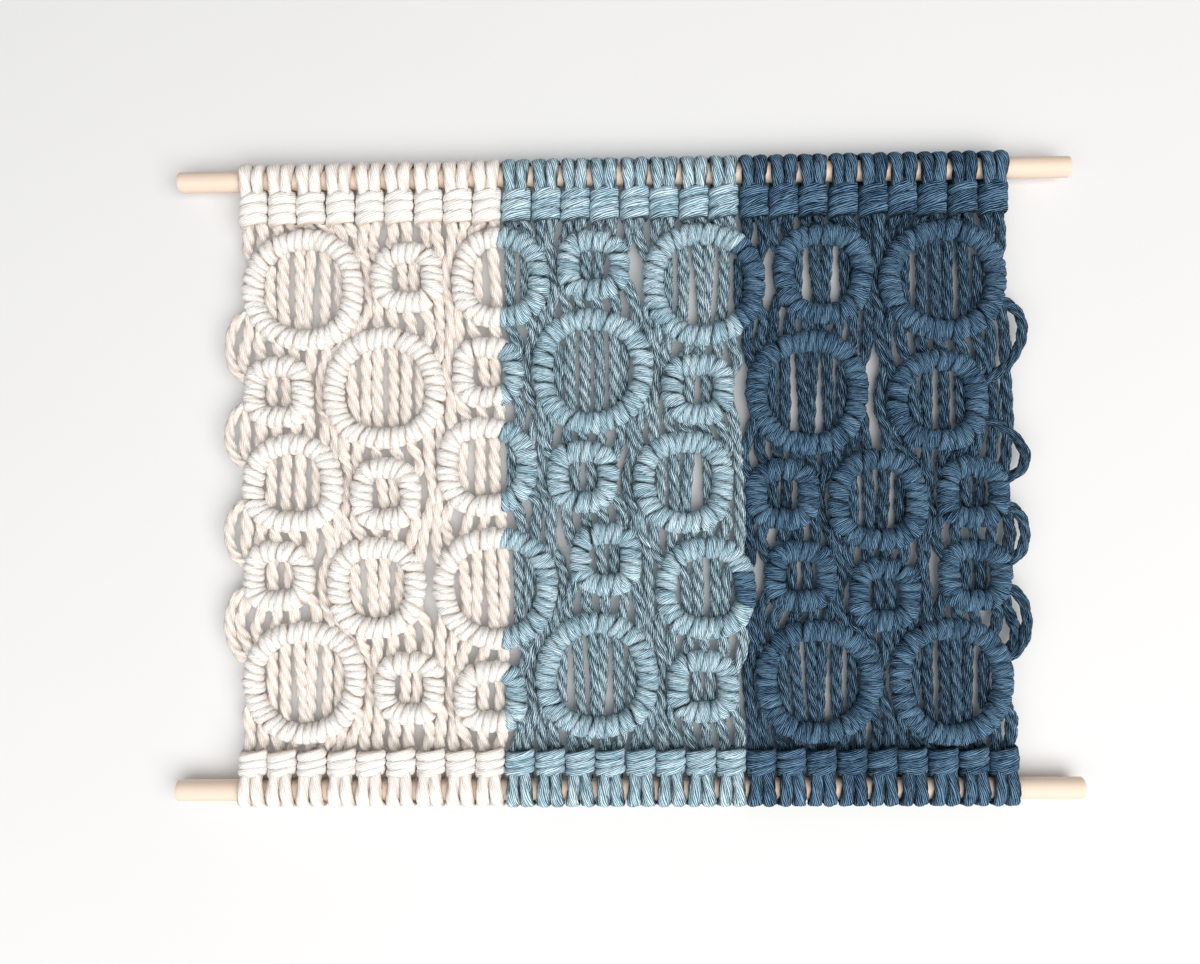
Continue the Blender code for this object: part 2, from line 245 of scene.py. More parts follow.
birch_finish = birch()
turn_dowel("birch_dowel_top", 0.0, (SKEWED_CUT, SQUARER_CUT), birch_finish, "dowel_top")
turn_dowel("birch_dowel_bottom", -DOWEL_SPACING, (SQUARER_CUT, SKEWED_CUT), birch_finish, "dowel_bottom")


# --------------------------------------------------------------------------------------------------
# The cord: soft three-ply cotton, 5 to 6 mm thick where it hangs free and pressed flatter where a knot
# is drawn tight. It comes in three dyes, and each makes one field of the hanging, from left to right.
# --------------------------------------------------------------------------------------------------
KNOT_PITCH = 13.45
CORDS_A_KNOT = 2
FIELDS = {
    "cream": {"knots": 9, "node": "cords_cream", "slot": "cream_cotton"},
    "dusty_blue": {"knots": 8, "node": "cords_dusty_blue", "slot": "dusty_blue_cotton"},
    "navy": {"knots": 9, "node": "cords_navy", "slot": "navy_cotton"},
}
KNOTTED_WIDTH = KNOT_PITCH * sum(field["knots"] for field in FIELDS.values())
# Each dye's middle is its own colour. Its deep is painted shade, warm in the cream. Its pale is painted
# highlight on raised yarns, and the cotton's lighter tone.
DYES = {
    "cream": {
        "deep": (0.68, 0.585, 0.51),
        "middle": (0.905, 0.87, 0.83),
        "pale": (0.96, 0.935, 0.91),
    },
    "dusty_blue": {
        "deep": (0.004, 0.022, 0.036),
        "middle": (0.185, 0.350, 0.440),
        "pale": (0.68, 0.84, 0.91),
    },
    "navy": {
        "deep": (0.0001, 0.0007, 0.0025),
        "middle": (0.0062, 0.0237, 0.063),
        "pale": (0.155, 0.28, 0.405),
    },
}
PLIES = 3
SIDES_A_PLY = 4
CORD_SIDES = PLIES * SIDES_A_PLY
LOOSE_PLIES = 0.72
TIGHT_PLIES = 0.40
LAY_LENGTH = 22.0
SEGMENT = 1.25
CURVE_STEPS = 12
CORDS_APART = 4000
YARNS = 20
YARN_TURN = 0.20
YARN_WANDER = 10.0
YARN_CIRCLE = 2.0
# How fine each noise is: round the cord, then along it.
WANDER_STRETCH = (0.7, 0.7, 0.16)
STREAK_STRETCH = (2.3, 2.3, 0.32)
FIBRE_STRETCH = (5.0, 5.0, 0.9)
MOTTLE_STRETCH = (0.35, 0.35, 0.35)
# What each adds to the relief, and which share of painted highlight and of painted shade turns the dye pale
# and deep.
YARN_HEIGHT = 0.45
STREAK_HEIGHT = 0.9
FIBRE_HEIGHT = 0.3
FULL_HEIGHT = 1.7
TONE_SHARE = 0.2
HOLLOW_SHADE = 0.85
PALE_BETWEEN = (0.82, 1.35)
DEEP_BETWEEN = (0.65, 1.4)
# Painted shade: how dark the grooves between plies are painted, and the skin of a loose cord, and the seams
# between tight ones.
LOOSE_GROOVE_SHADE = 0.30
TIGHT_GROOVE_SHADE = 0.16
LOOSE_SHADE = 0.24
SEAM_SHADE = 0.72
SEAM_NARROWNESS = 4


def cotton(dye):
    """Spun cotton: yarns along the cord, streaks of stray fibre, painted shade in its hollows, seams and
    the furrows between plies, and painted highlight on its raised yarns.
    """
    colours = DYES[dye]
    constants = {
        "Roughness": 0.92,
        "Specular IOR Level": 0.06,
        "Sheen Weight": 0.10,
        "Sheen Roughness": 0.6,
        "Subsurface Weight": 0.3,
        "Subsurface Radius": (1.0, 0.8, 0.65),
        "Subsurface Scale": 0.002,
        "Sheen Tint": (*colours["pale"], 1.0),
    }
    finish = Finish(f"{dye}_cotton", constants)
    lie = finish.node("ShaderNodeAttribute", {"attribute_name": "lie_in_cord"}, {}, output=1)
    tone = finish.node("ShaderNodeAttribute", {"attribute_name": "tone"}, {}, output=2)
    # The painted shade of each point: in the grooves between plies, at the seams of tight cords and over
    # loose cords.
    painted_shade = finish.node("ShaderNodeAttribute", {"attribute_name": "painted_shade"}, {}, output=2)
    out, up, along = finish.axes_of(lie)
    turn = up.angle_from(out)
    circled = {0: YARN_CIRCLE * turn.cosine(), 1: YARN_CIRCLE * turn.sine(), 2: along}
    by_yarn = finish.node("ShaderNodeCombineXYZ", {}, circled)
    wander = finish.noise(by_yarn, WANDER_STRETCH, detail=1.0)
    yarns = (turn * YARNS + wander * YARN_WANDER).sine() * 0.5 + 0.5
    streaks = finish.noise(by_yarn, STREAK_STRETCH, detail=3.0, roughness=0.65)
    fibres = finish.noise(by_yarn, FIBRE_STRETCH, detail=2.0, roughness=0.7)
    mottle = finish.noise(lie, MOTTLE_STRETCH)
    relief = YARN_HEIGHT * yarns + STREAK_HEIGHT * streaks + FIBRE_HEIGHT * fibres
    # Paler where the relief stands high, which is painted highlight on the raised yarns, and with each
    # cord's tone and a mottle, the cotton's own.
    light = relief + TONE_SHARE * tone + TONE_SHARE * mottle
    # Darker with the painted shade of each point, and with painted shade in the hollows where the relief is
    # low.
    shade = painted_shade + (FULL_HEIGHT - relief) * HOLLOW_SHADE
    body = finish.mixed(light.step(*PALE_BETWEEN), colours["middle"], colours["pale"])
    finish.feed("Base Color", finish.mixed(shade.step(*DEEP_BETWEEN), body, colours["deep"]))
    finish.raise_by(relief, distance=0.0005, strength=0.9)
    return finish.material


def ply_profile(ply_overlap):
    """How far out each side of a cord's section lies: plies that stand out more or less from the middle."""
    reach = []
    for side in range(CORD_SIDES):
        angle = math.tau * ((side % SIDES_A_PLY) / SIDES_A_PLY - 0.5) / PLIES
        reach.append(ply_overlap * math.cos(angle) + math.sqrt(1 - (ply_overlap * math.sin(angle)) ** 2))
    return np.array(reach) / max(reach)


# How far each side of a loose cord lies into a groove between plies, 0 to 1: where shade is painted.
SHADE_IN_PLY_GROOVES = (1 - ply_profile(LOOSE_PLIES)) / np.ptp(ply_profile(LOOSE_PLIES))


def unit(vectors):
    return vectors / np.linalg.norm(vectors, axis=-1, keepdims=True)


def run_along(line):
    steps = np.linalg.norm(np.diff(line, axis=0), axis=1)
    return np.concatenate([[0], np.cumsum(steps)])


def evenly(line):
    """The same line with its points evenly spaced."""
    run = run_along(line)
    even = np.linspace(0, run[-1], max(4, round(run[-1] / SEGMENT) + 1))
    return np.stack([np.interp(even, run, line[:, axis]) for axis in range(3)], axis=1)


def smooth_line(points):
    """A smooth curve through the given points."""
    given = np.array(points, dtype=float)
    given = np.concatenate([2 * given[:1] - given[1:2], given, 2 * given[-1:] - given[-2:-1]])
    share = np.linspace(0, 1, CURVE_STEPS, endpoint=False)[:, None]
    fine = []
    for before, start, end, after in zip(given, given[1:], given[2:], given[3:]):
        bend = 2 * before - 5 * start + 4 * end - after
        twist = 3 * (start - end) + after - before
        fine.append(start + 0.5 * share * (end - before + share * (bend + share * twist)))
    return evenly(np.concatenate([*fine, given[-2:-1]]))


class Cordage:
    """Cords of one dye gathered into one piece. Each point keeps where it lies in its own cord."""

    def __init__(self, seed):
        self.points = []
        self.quads = []
        self.ends = [np.empty((0, CORD_SIDES), dtype=int)]
        self.lies = []
        self.tones = []
        self.painted_shades = []
        self.count = 0
        self.chance = random.Random(seed)

    def add(self, line, outward, half_size, turned, closed=False, drawn=1.0):
        """Skins one cord along a line.

        outward is the way that its depth is measured, half_size is half its width and half its depth, and
        turned is its twist so far. drawn is how tight it is: at 0 it hangs loose and its plies stand apart,
        and at 1 it is flattened against its neighbours and its yarns lie along its plies.
        """
        if closed:
            after = np.roll(line, -1, axis=0)
            before = np.roll(line, 1, axis=0)
        else:
            after = np.concatenate([line[1:], 2 * line[-1:] - line[-2:-1]])
            before = np.concatenate([2 * line[:1] - line[1:2], line[:-1]])
        along = unit(after - before)
        across = unit(np.cross(along, outward))
        squared = np.cross(across, along)
        profile = ply_profile(LOOSE_PLIES + (TIGHT_PLIES - LOOSE_PLIES) * drawn)
        base = np.arange(CORD_SIDES) * math.tau / CORD_SIDES
        angles = base + np.reshape(turned, (-1, 1))
        wide = np.reshape(half_size[0], (-1, 1)) * np.cos(angles) * profile
        deep = np.reshape(half_size[1], (-1, 1)) * np.sin(angles) * profile
        skin = wide[:, :, None] * across[:, None, :] + deep[:, :, None] * squared[:, None, :]
        skin += line[:, None, :]
        lie = np.zeros_like(skin)
        run = run_along(line)[:, None]
        yarn_turn = YARN_TURN * (1 - drawn) * run
        lie[:, :, 0] = np.cos(base + yarn_turn)
        lie[:, :, 1] = np.sin(base + yarn_turn)
        lie[:, :, 2] = run + self.chance.uniform(0, CORDS_APART)
        self.quads.append(skin_of_rows(len(line), CORD_SIDES, closed) + self.count)
        if not closed:
            self.ends.append(end_faces(len(line), CORD_SIDES) + self.count)
        self.points.append(skin.reshape(-1, 3))
        self.lies.append(lie.reshape(-1, 3))
        self.tones.append(np.full(angles.size, self.chance.uniform(0, 1)))
        # Painted shade in the colour: at the seams where a tight cord meets its neighbours, over a loose
        # cord, and in the grooves between plies.
        seam_shade_mask = np.abs(np.cos(angles)) ** SEAM_NARROWNESS
        shade = LOOSE_SHADE * (1 - drawn) + SEAM_SHADE * drawn * seam_shade_mask
        shade += (LOOSE_GROOVE_SHADE * (1 - drawn) + TIGHT_GROOVE_SHADE * drawn) * SHADE_IN_PLY_GROOVES
        self.painted_shades.append(shade.ravel())
        self.count += angles.size

    def hang_as(self, name, dye):
        """Makes the gathered cords one piece in their dye."""
        parts = (self.points, self.quads, self.ends)
        data = mesh_of(name, *(np.concatenate(part) for part in parts))
        lie = data.attributes.new("lie_in_cord", "FLOAT_VECTOR", "POINT")
        lie.data.foreach_set("vector", np.concatenate(self.lies).astype(np.float32).ravel())
        for label, values in (("tone", self.tones), ("painted_shade", self.painted_shades)):
            attribute = data.attributes.new(label, "FLOAT", "POINT")
            attribute.data.foreach_set("value", np.concatenate(values).astype(np.float32))
        hang(data, name, cotton_finishes[dye], FIELDS[dye]["node"])


def field_edges():
    """The left and right edge of each dye's field."""
    edges = {}
    left = -KNOTTED_WIDTH / 2
    for dye, field in FIELDS.items():
        edges[dye] = (left, left + KNOT_PITCH * field["knots"])
        left += KNOT_PITCH * field["knots"]
    return edges


FIELD_EDGES = field_edges()
cotton_finishes = {dye: cotton(dye) for dye in FIELDS}


def dye_at(x):
    """The dye of the field at a place across the hanging."""
    for dye, (_, right) in FIELD_EDGES.items():
        if x < right:
            return dye
    return dye


# --------------------------------------------------------------------------------------------------
# The heading and the footing: each cord is doubled over a dowel, so that two turns of it lie side by
# side, and a collar of slanting wraps is drawn tight round both. The collars hang below the top dowel
# and stand above the bottom one.
# --------------------------------------------------------------------------------------------------
HEADING_DEPTH = 20.5
FOOTING_DEPTH = 17.5
KNOT_WANDER = 0.25
LOOP_RADIUS = 8.15
LOOP_HALF_DEPTH = 1.7
LOOP_HALF_WIDTH = 3.55
LOOP_NARROWEST = 0.82
LOOP_SPREAD = 3.35
LOOP_SPREAD_AT_COLLAR = 2.35
LOOP_LEAN = 0.3
LOOP_ANGLES = range(-26, 207, 16)
LOOP_DRAWN = 0.75
LOOP_LAY = 1.7 * LAY_LENGTH
LOOP_END = {"forward": 2.2, "inside": 5.0}
LOOP_MOUTH = {"forward": 3.8, "below": 2.0}
COLLAR_HALF = 7.05
COLLAR_WRAPS = 3
COLLAR_OVER_LOOP = 0.9
WRAP_HALF_DEPTH = 1.6
WRAP_POINTS = 24
WRAP_SQUARENESS = 0.80
WRAP_FULLNESS = 0.78
WRAP_SLANT = 0.16
WRAP_SLANT_JITTER = 0.06
WRAP_WANDER = 0.2
WRAP_BULGE = 0.04
WRAP_AT_ENDS = 0.97
WRAP_UNEVENNESS = 0.02
WRAP_TWISTS = (1, 2)


def squared_circle(points):
    """Directions round a rounded square, as two arrays of -1 to 1."""
    turns = np.arange(points) * math.tau / points
    across = np.sign(np.cos(turns)) * np.abs(np.cos(turns)) ** WRAP_SQUARENESS
    back = np.sign(np.sin(turns)) * np.abs(np.sin(turns)) ** WRAP_SQUARENESS
    return across, back


def turn_over_dowel(cords, middle, side, axis_height, up, collar_depth):
    """One turn of cord over a dowel, from inside the collar in front to inside it behind."""
    chance = cords.chance
    centre = LOOP_RADIUS - LOOP_HALF_DEPTH
    route = [
        (-LOOP_END["forward"], LOOP_END["inside"] - collar_depth),
        (-LOOP_MOUTH["forward"], -LOOP_RADIUS - LOOP_MOUTH["below"]),
    ]
    for angle in LOOP_ANGLES:
        route.append((-centre * math.cos(math.radians(angle)), centre * math.sin(math.radians(angle))))
    route += [(-back, height) for back, height in reversed(route[:2])]
    lean = chance.uniform(-LOOP_LEAN, LOOP_LEAN)
    points = []
    for back, height in route:
        share = min(1.0, max(0.0, (height + LOOP_RADIUS) / (2 * LOOP_RADIUS)))
        spread = LOOP_SPREAD_AT_COLLAR + (LOOP_SPREAD - LOOP_SPREAD_AT_COLLAR) * share
        points.append((middle + side * spread + lean * share, back, axis_height + up * height))
    line = smooth_line(points)
    height = up * (line[:, 2] - axis_height)
    outward = unit(np.stack([np.zeros(len(line)), line[:, 1], up * np.maximum(height, 0.0)], axis=1))
    share = np.clip((height + LOOP_RADIUS) / (2 * LOOP_RADIUS), 0, 1)
    narrowing = LOOP_NARROWEST + (1 - LOOP_NARROWEST) * share
    width = LOOP_HALF_WIDTH * narrowing * chance.uniform(0.97, 1.04)
    turned = run_along(line) * math.tau / LOOP_LAY + chance.uniform(0, math.tau)
    cords.add(line, outward, (width, LOOP_HALF_DEPTH), turned, drawn=LOOP_DRAWN)


def draw_collar(cords, middle, axis_height, up, collar_depth):
    """The slanting wraps of one collar. Each is a closed turn round both cords."""
    chance = cords.chance
    collar_start = LOOP_RADIUS - COLLAR_OVER_LOOP
    pitch = (collar_depth - collar_start) / COLLAR_WRAPS
    across, back = squared_circle(WRAP_POINTS)
    for wrap in range(COLLAR_WRAPS):
        bulge = WRAP_BULGE * math.sin(math.pi * (wrap + 0.5) / COLLAR_WRAPS)
        swell = WRAP_AT_ENDS + bulge + chance.uniform(-WRAP_UNEVENNESS, WRAP_UNEVENNESS)
        reach = (COLLAR_HALF - WRAP_HALF_DEPTH) * swell
        slant = WRAP_SLANT + chance.uniform(-WRAP_SLANT_JITTER, WRAP_SLANT_JITTER)
        level = axis_height - up * (collar_start + pitch * (wrap + 0.5))
        level += chance.uniform(-WRAP_WANDER, WRAP_WANDER)
        x = middle + reach * across + chance.uniform(-WRAP_WANDER, WRAP_WANDER)
        line = np.stack([x, reach * back, level + slant * reach * across], axis=1)
        outward = unit(np.stack([across, back, np.zeros(WRAP_POINTS)], axis=1))
        twists = chance.choice(WRAP_TWISTS) / PLIES
        turned = np.arange(WRAP_POINTS) * math.tau * twists / WRAP_POINTS + chance.uniform(0, math.tau)
        size = (pitch * WRAP_FULLNESS * chance.uniform(0.96, 1.04), WRAP_HALF_DEPTH)
        cords.add(line, outward, size, turned, closed=True)


def tie_bar(name, axis_height, up, collar_depth, seed):
    """The knots of one dowel, in the three dyes. up is 1 where the collars hang below it, and -1 above."""
    for dye, (left, _) in FIELD_EDGES.items():
        cords = Cordage(seed + dye)
        for knot in range(FIELDS[dye]["knots"]):
            middle = left + KNOT_PITCH * (knot + 0.5) + cords.chance.uniform(-KNOT_WANDER, KNOT_WANDER)
            for side in (-1, 1):
                turn_over_dowel(cords, middle, side, axis_height, up, collar_depth)
            draw_collar(cords, middle, axis_height, up, collar_depth)
        cords.hang_as(f"{name}_{dye}", dye)


tie_bar("heading_knots", 0.0, 1, HEADING_DEPTH, "heading")
tie_bar("footing_knots", -DOWEL_SPACING, -1, FOOTING_DEPTH, "footing")


# --------------------------------------------------------------------------------------------------
# The rings: a holding cord is bent into a ring, and the hanging cords are hitched round it in pairs of
# half hitches until it is covered. The layout is a plain stagger of rings in three sizes. A ring that
# lies over the edge of a field is hitched in both dyes.
# --------------------------------------------------------------------------------------------------
BAND_HALF = 5.15
BAND_SWELL = 0.06
RING_SIZES = {
    "small": {"radius": 17.6, "most_floats": 2, "squareness": 0.055},
    "middle": {"radius": 24.0, "most_floats": 4, "squareness": 0.03},
    "large": {"radius": 29.0, "most_floats": 6, "squareness": 0.015},
}
RING_COLUMNS = ("across", "down", "size")
RINGS = (
    (29.5, 30.0, "large"),
    (77.0, 25.0, "small"),
    (120.0, 26.0, "middle"),
    (162.5, 21.0, "small"),
    (212.5, 30.0, "large"),
    (266.5, 26.0, "middle"),
    (320.5, 30.0, "large"),
    (18.0, 77.0, "small"),
    (66.5, 76.0, "large"),
    (114.0, 69.0, "small"),
    (161.5, 69.0, "large"),
    (209.5, 78.0, "small"),
    (259.0, 80.0, "large"),
    (317.0, 84.5, "middle"),
    (24.5, 119.0, "middle"),
    (67.0, 124.0, "small"),
    (113.0, 112.0, "middle"),
    (157.0, 117.0, "small"),
    (202.5, 120.0, "middle"),
    (247.0, 126.0, "small"),
    (289.5, 129.0, "middle"),
    (331.8, 126.0, "small"),
    (18.0, 161.0, "small"),
    (62.5, 166.5, "middle"),
    (117.0, 167.0, "large"),
    (167.0, 154.5, "small"),
    (212.0, 168.0, "middle"),
    (254.5, 163.0, "small"),
    (291.5, 171.5, "small"),
    (331.8, 163.0, "small"),
    (29.5, 209.0, "large"),
    (77.5, 212.0, "small"),
    (114.5, 216.0, "small"),
    (162.5, 207.0, "large"),
    (210.0, 212.0, "small"),
    (261.5, 210.0, "large"),
    (320.5, 210.0, "large"),
)
RING_UNEVENNESS = 0.02
UNEVENNESS_TURN = 2.4
RING_WANDER = 0.8
WANDER_TURN = 1.7
RING_WAVES = 0.018
SMALL_TURN = 0.01
HITCH_PITCH = 3.6
PAIRED_BY = 0.08
HITCH_STRAY = 0.14
HITCH_POINTS = 16
HITCH_START = 0.75 * math.pi
HITCH_HALF_DEPTH = 1.8
HITCH_HALF_WIDTHS = (1.6, 3.6)
HITCH_FULLNESS = 0.75
HITCH_LEAN = 0.32
HITCH_LEAN_JITTER = 0.13
HITCH_TWISTS = (2, 3)
CORE_RADIUS = 2.6
CORE_POINTS = 40
FRONT = np.array((0.0, -1.0, 0.0))


def rings_in_place():
    """The rings as the middle line of each band: centre, half width and half height. No two are alike."""
    placed = []
    for number, row in enumerate(RINGS):
        ring = dict(zip(RING_COLUMNS, row))
        size = RING_SIZES[ring["size"]]
        middle = size["radius"] - BAND_HALF * (1 + BAND_SWELL)
        uneven = RING_UNEVENNESS * math.sin(UNEVENNESS_TURN * number)
        across = ring["across"] - KNOTTED_WIDTH / 2
        back = RING_WANDER * math.sin(WANDER_TURN * number)
        placed.append(
            {
                "number": number,
                "centre": Vector((across, back, -HEADING_DEPTH - ring["down"])),
                "half_width": middle * (1 + uneven),
                "half_height": middle * (1 - uneven),
                "outer": size["radius"] * (1 + RING_UNEVENNESS),
                "squareness": size["squareness"],
                "most_floats": size["most_floats"],
            }
        )
    return placed


rings = rings_in_place()


def on_ring(ring, angle):
    """A point of a ring's middle line, clockwise from the top. Each ring is a little square and wavy."""
    wave = 1 - ring["squareness"] * math.cos(4 * angle) + RING_WAVES * math.sin(3 * angle + ring["number"])
    x = ring["half_width"] * wave * math.sin(angle)
    z = ring["half_height"] * wave * math.cos(angle)
    return np.array(ring["centre"]) + np.array((x, 0.0, z))


def way_on_ring(ring, angle):
    """The way that a ring's middle line runs at an angle, clockwise."""
    return unit(on_ring(ring, angle + SMALL_TURN) - on_ring(ring, angle - SMALL_TURN))


def hitch_round(cords, ring, angle, step):
    """One turn of cord round the band at an angle, wide at the outer edge and narrow at the inner one."""
    chance = cords.chance
    before, clockwise, after = (way_on_ring(ring, angle + share * step) for share in (-0.5, 0.0, 0.5))
    pitch = np.linalg.norm(on_ring(ring, angle + 0.5 * step) - on_ring(ring, angle - 0.5 * step))
    bend = math.acos(min(1.0, before @ after))
    outward = np.array((-clockwise[2], 0.0, clockwise[0]))
    fullness = chance.uniform(0.95, 1.05)
    reach = (BAND_HALF - HITCH_HALF_DEPTH) * fullness
    lean = HITCH_LEAN + chance.uniform(-HITCH_LEAN_JITTER, HITCH_LEAN_JITTER)
    turns = HITCH_START + np.arange(HITCH_POINTS) * math.tau / HITCH_POINTS
    out = np.cos(turns)[:, None]
    back = np.sin(turns)[:, None] * -FRONT
    line = on_ring(ring, angle) + reach * (out * outward + back) + lean * reach * out * clockwise
    room = (pitch + bend * reach * out[:, 0]) * HITCH_FULLNESS
    width = np.clip(room, *HITCH_HALF_WIDTHS) * chance.uniform(0.95, 1.07)
    twists = chance.choice(HITCH_TWISTS) / PLIES
    turned = np.arange(HITCH_POINTS) * math.tau * twists / HITCH_POINTS + chance.uniform(0, math.tau)
    half_size = (width, HITCH_HALF_DEPTH * fullness)
    cords.add(line, out * outward + back, half_size, turned, closed=True)


def cover_ring(hitches, ring):
    """Hitches a ring all the way round, in the dye of each place, over its holding cord."""
    girth = math.pi * (ring["half_width"] + ring["half_height"])
    count = 2 * round(girth / HITCH_PITCH / 2)
    step = math.tau / count
    for hitch in range(count):
        angle = step * (hitch + PAIRED_BY * (-1) ** hitch + 0.5)
        cords = hitches[dye_at(ring["centre"].x + ring["half_width"] * math.sin(angle))]
        hitch_round(cords, ring, angle + cords.chance.uniform(-HITCH_STRAY, HITCH_STRAY) * step, step)
    line = np.array([on_ring(ring, math.tau * point / CORE_POINTS) for point in range(CORE_POINTS)])
    turned = np.arange(CORE_POINTS) * math.tau * round(girth / LAY_LENGTH) / CORE_POINTS
    facing = np.tile(FRONT, (CORE_POINTS, 1))
    core = hitches[dye_at(ring["centre"].x)]
    core.add(line, facing, (CORE_RADIUS, CORE_RADIUS), turned, closed=True, drawn=0.0)


hitches = {dye: Cordage("hitches" + dye) for dye in FIELDS}
for ring in rings:
    cover_ring(hitches, ring)
for dye, cords in hitches.items():
    cords.hang_as(f"ring_hitches_{dye}", dye)


# --------------------------------------------------------------------------------------------------
# The hanging cords: they run from the knots on the top dowel down to those on the bottom dowel. A ring
# in their way catches them above and below its hole, and most of them float across it, a little behind
# the face. A ring that they only brush pushes them aside.
# --------------------------------------------------------------------------------------------------
CORD_PITCH = KNOT_PITCH / CORDS_A_KNOT
CORD_PLACES = np.arange(-KNOTTED_WIDTH / 2 + CORD_PITCH / 2, KNOTTED_WIDTH / 2, CORD_PITCH)
LEAVES_COLLAR_ASIDE = 2.9
FREE_RADIUS = 3.0
FREE_FLATNESS = 0.92
SWELL = 0.05
SWELL_TURN = 0.35
SMOOTHINGS = 3
FOUR_POINT_STEPS = 24
TUCK = 3.6
CAUGHT_INSIDE = 2.0
WIDEST_CATCH = math.radians(70)
WIDEST_STRAIGHT = 0.93
EVEN_CATCHES = 0.65
CATCH_JITTER = math.radians(3.0)
CROSSING_CHANCE = 0.35
PAIR_CLOSENESS = 0.7
FLOAT_BACK = 3.4
FLOATS_CLEAR_BAND = 2.3
FLOAT_JITTER = 0.6
FLOAT_BOW = (0.9, 2)
FLOAT_REACH = 0.9
DEPTH_JITTER = 0.8
HANDLE_SHARE = 0.34
HANDLE_GAP = 18.0
OUTWARD_SHARE = 0.55
SWAY_SHARE = 0.10
MOST_SWAY = 2.6
SWAY_LENGTH = 30
PASSES_CLEAR_BY = 1.4
PUSH_SPREAD = 0.3
PUSHED_BACK = 0.5
STRAND_BACK = 2.4
BACKMOST = 8.0
DOWN = np.array((0.0, 0.0, -1.0))


def hang_loose(cords, line, radius=FREE_RADIUS):
    """A free cord along a line, with the cord's own twist and a slightly uneven thickness."""
    line = line.copy()
    for _ in range(SMOOTHINGS):
        line[1:-1] = (line[:-2] + 2 * line[1:-1] + line[2:]) / 4
    chance = cords.chance
    run = run_along(line)
    size = radius * chance.uniform(1 - SWELL, 1 + SWELL)
    swell = size * (1 + SWELL * np.sin(run * SWELL_TURN + chance.uniform(0, math.tau)))
    turned = run * math.tau / (LAY_LENGTH * chance.uniform(0.85, 1.15)) + chance.uniform(0, math.tau)
    facing = np.tile(FRONT, (len(line), 1))
    cords.add(line, facing, (swell, FREE_FLATNESS * swell), turned, drawn=0.0)


def four_point_curve(first, second, third, fourth):
    """A curve from the first point to the fourth, leaving towards the second and coming from the third."""
    share = np.linspace(0, 1, FOUR_POINT_STEPS)[:, None]
    rest = 1 - share
    return rest**3 * first + 3 * rest**2 * share * second + 3 * rest * share**2 * third + share**3 * fourth


def catches_of(ring):
    """Which cords a ring catches, and at which angle from its top, from left to right."""
    chance = random.Random(ring["number"])
    reach = ring["outer"] - CAUGHT_INSIDE
    caught = [cord for cord, x in enumerate(CORD_PLACES) if abs(x - ring["centre"].x) < reach]
    catches = {}
    for turn, cord in enumerate(caught):
        even = WIDEST_CATCH * (2 * turn / (len(caught) - 1) - 1)
        aside = (CORD_PLACES[cord] - ring["centre"].x) / ring["outer"]
        straight = math.asin(max(-WIDEST_STRAIGHT, min(WIDEST_STRAIGHT, aside)))
        angle = EVEN_CATCHES * even + (1 - EVEN_CATCHES) * straight
        catches[cord] = [angle + chance.uniform(-CATCH_JITTER, CATCH_JITTER) for _ in ("above", "below")]
    return catches


def anchor_on(ring, angle):
    """A point on the outer edge of a ring's band, and the way that it faces."""
    outward = np.array((math.sin(angle), 0.0, math.cos(angle)))
    return on_ring(ring, angle) + BAND_HALF * outward, outward


def float_across(cords, ring, turn, count):
    """The stretch of a cord that crosses a ring's hole, as one of a count of them from left to right."""
    chance = cords.chance
    hole = (ring["half_width"] + ring["half_height"]) / 2 - BAND_HALF
    room = hole - FLOATS_CLEAR_BAND
    place = room * (2 * turn / max(1, count - 1) - 1)
    if count == 2:
        place *= PAIR_CLOSENESS
    top = place + chance.uniform(-FLOAT_JITTER, FLOAT_JITTER)
    foot = place + chance.uniform(-FLOAT_JITTER, FLOAT_JITTER)
    if chance.random() < CROSSING_CHANCE:
        foot += math.copysign(room / count, -place)
    depth = FLOAT_BACK + chance.uniform(-DEPTH_JITTER, DEPTH_JITTER)
    reaches = [min(abs(side), FLOAT_REACH * hole) for side in (top, foot)]
    above, below = (math.sqrt(hole**2 - reach**2) + TUCK for reach in reaches)
    bow, middle = (chance.uniform(-most, most) for most in FLOAT_BOW)
    route = ((top, above), ((top + foot) / 2 + bow, middle), (foot, -below))
    x, y, z = ring["centre"]
    hang_loose(cords, smooth_line([(x + aside, y + depth, z + height) for aside, height in route]))


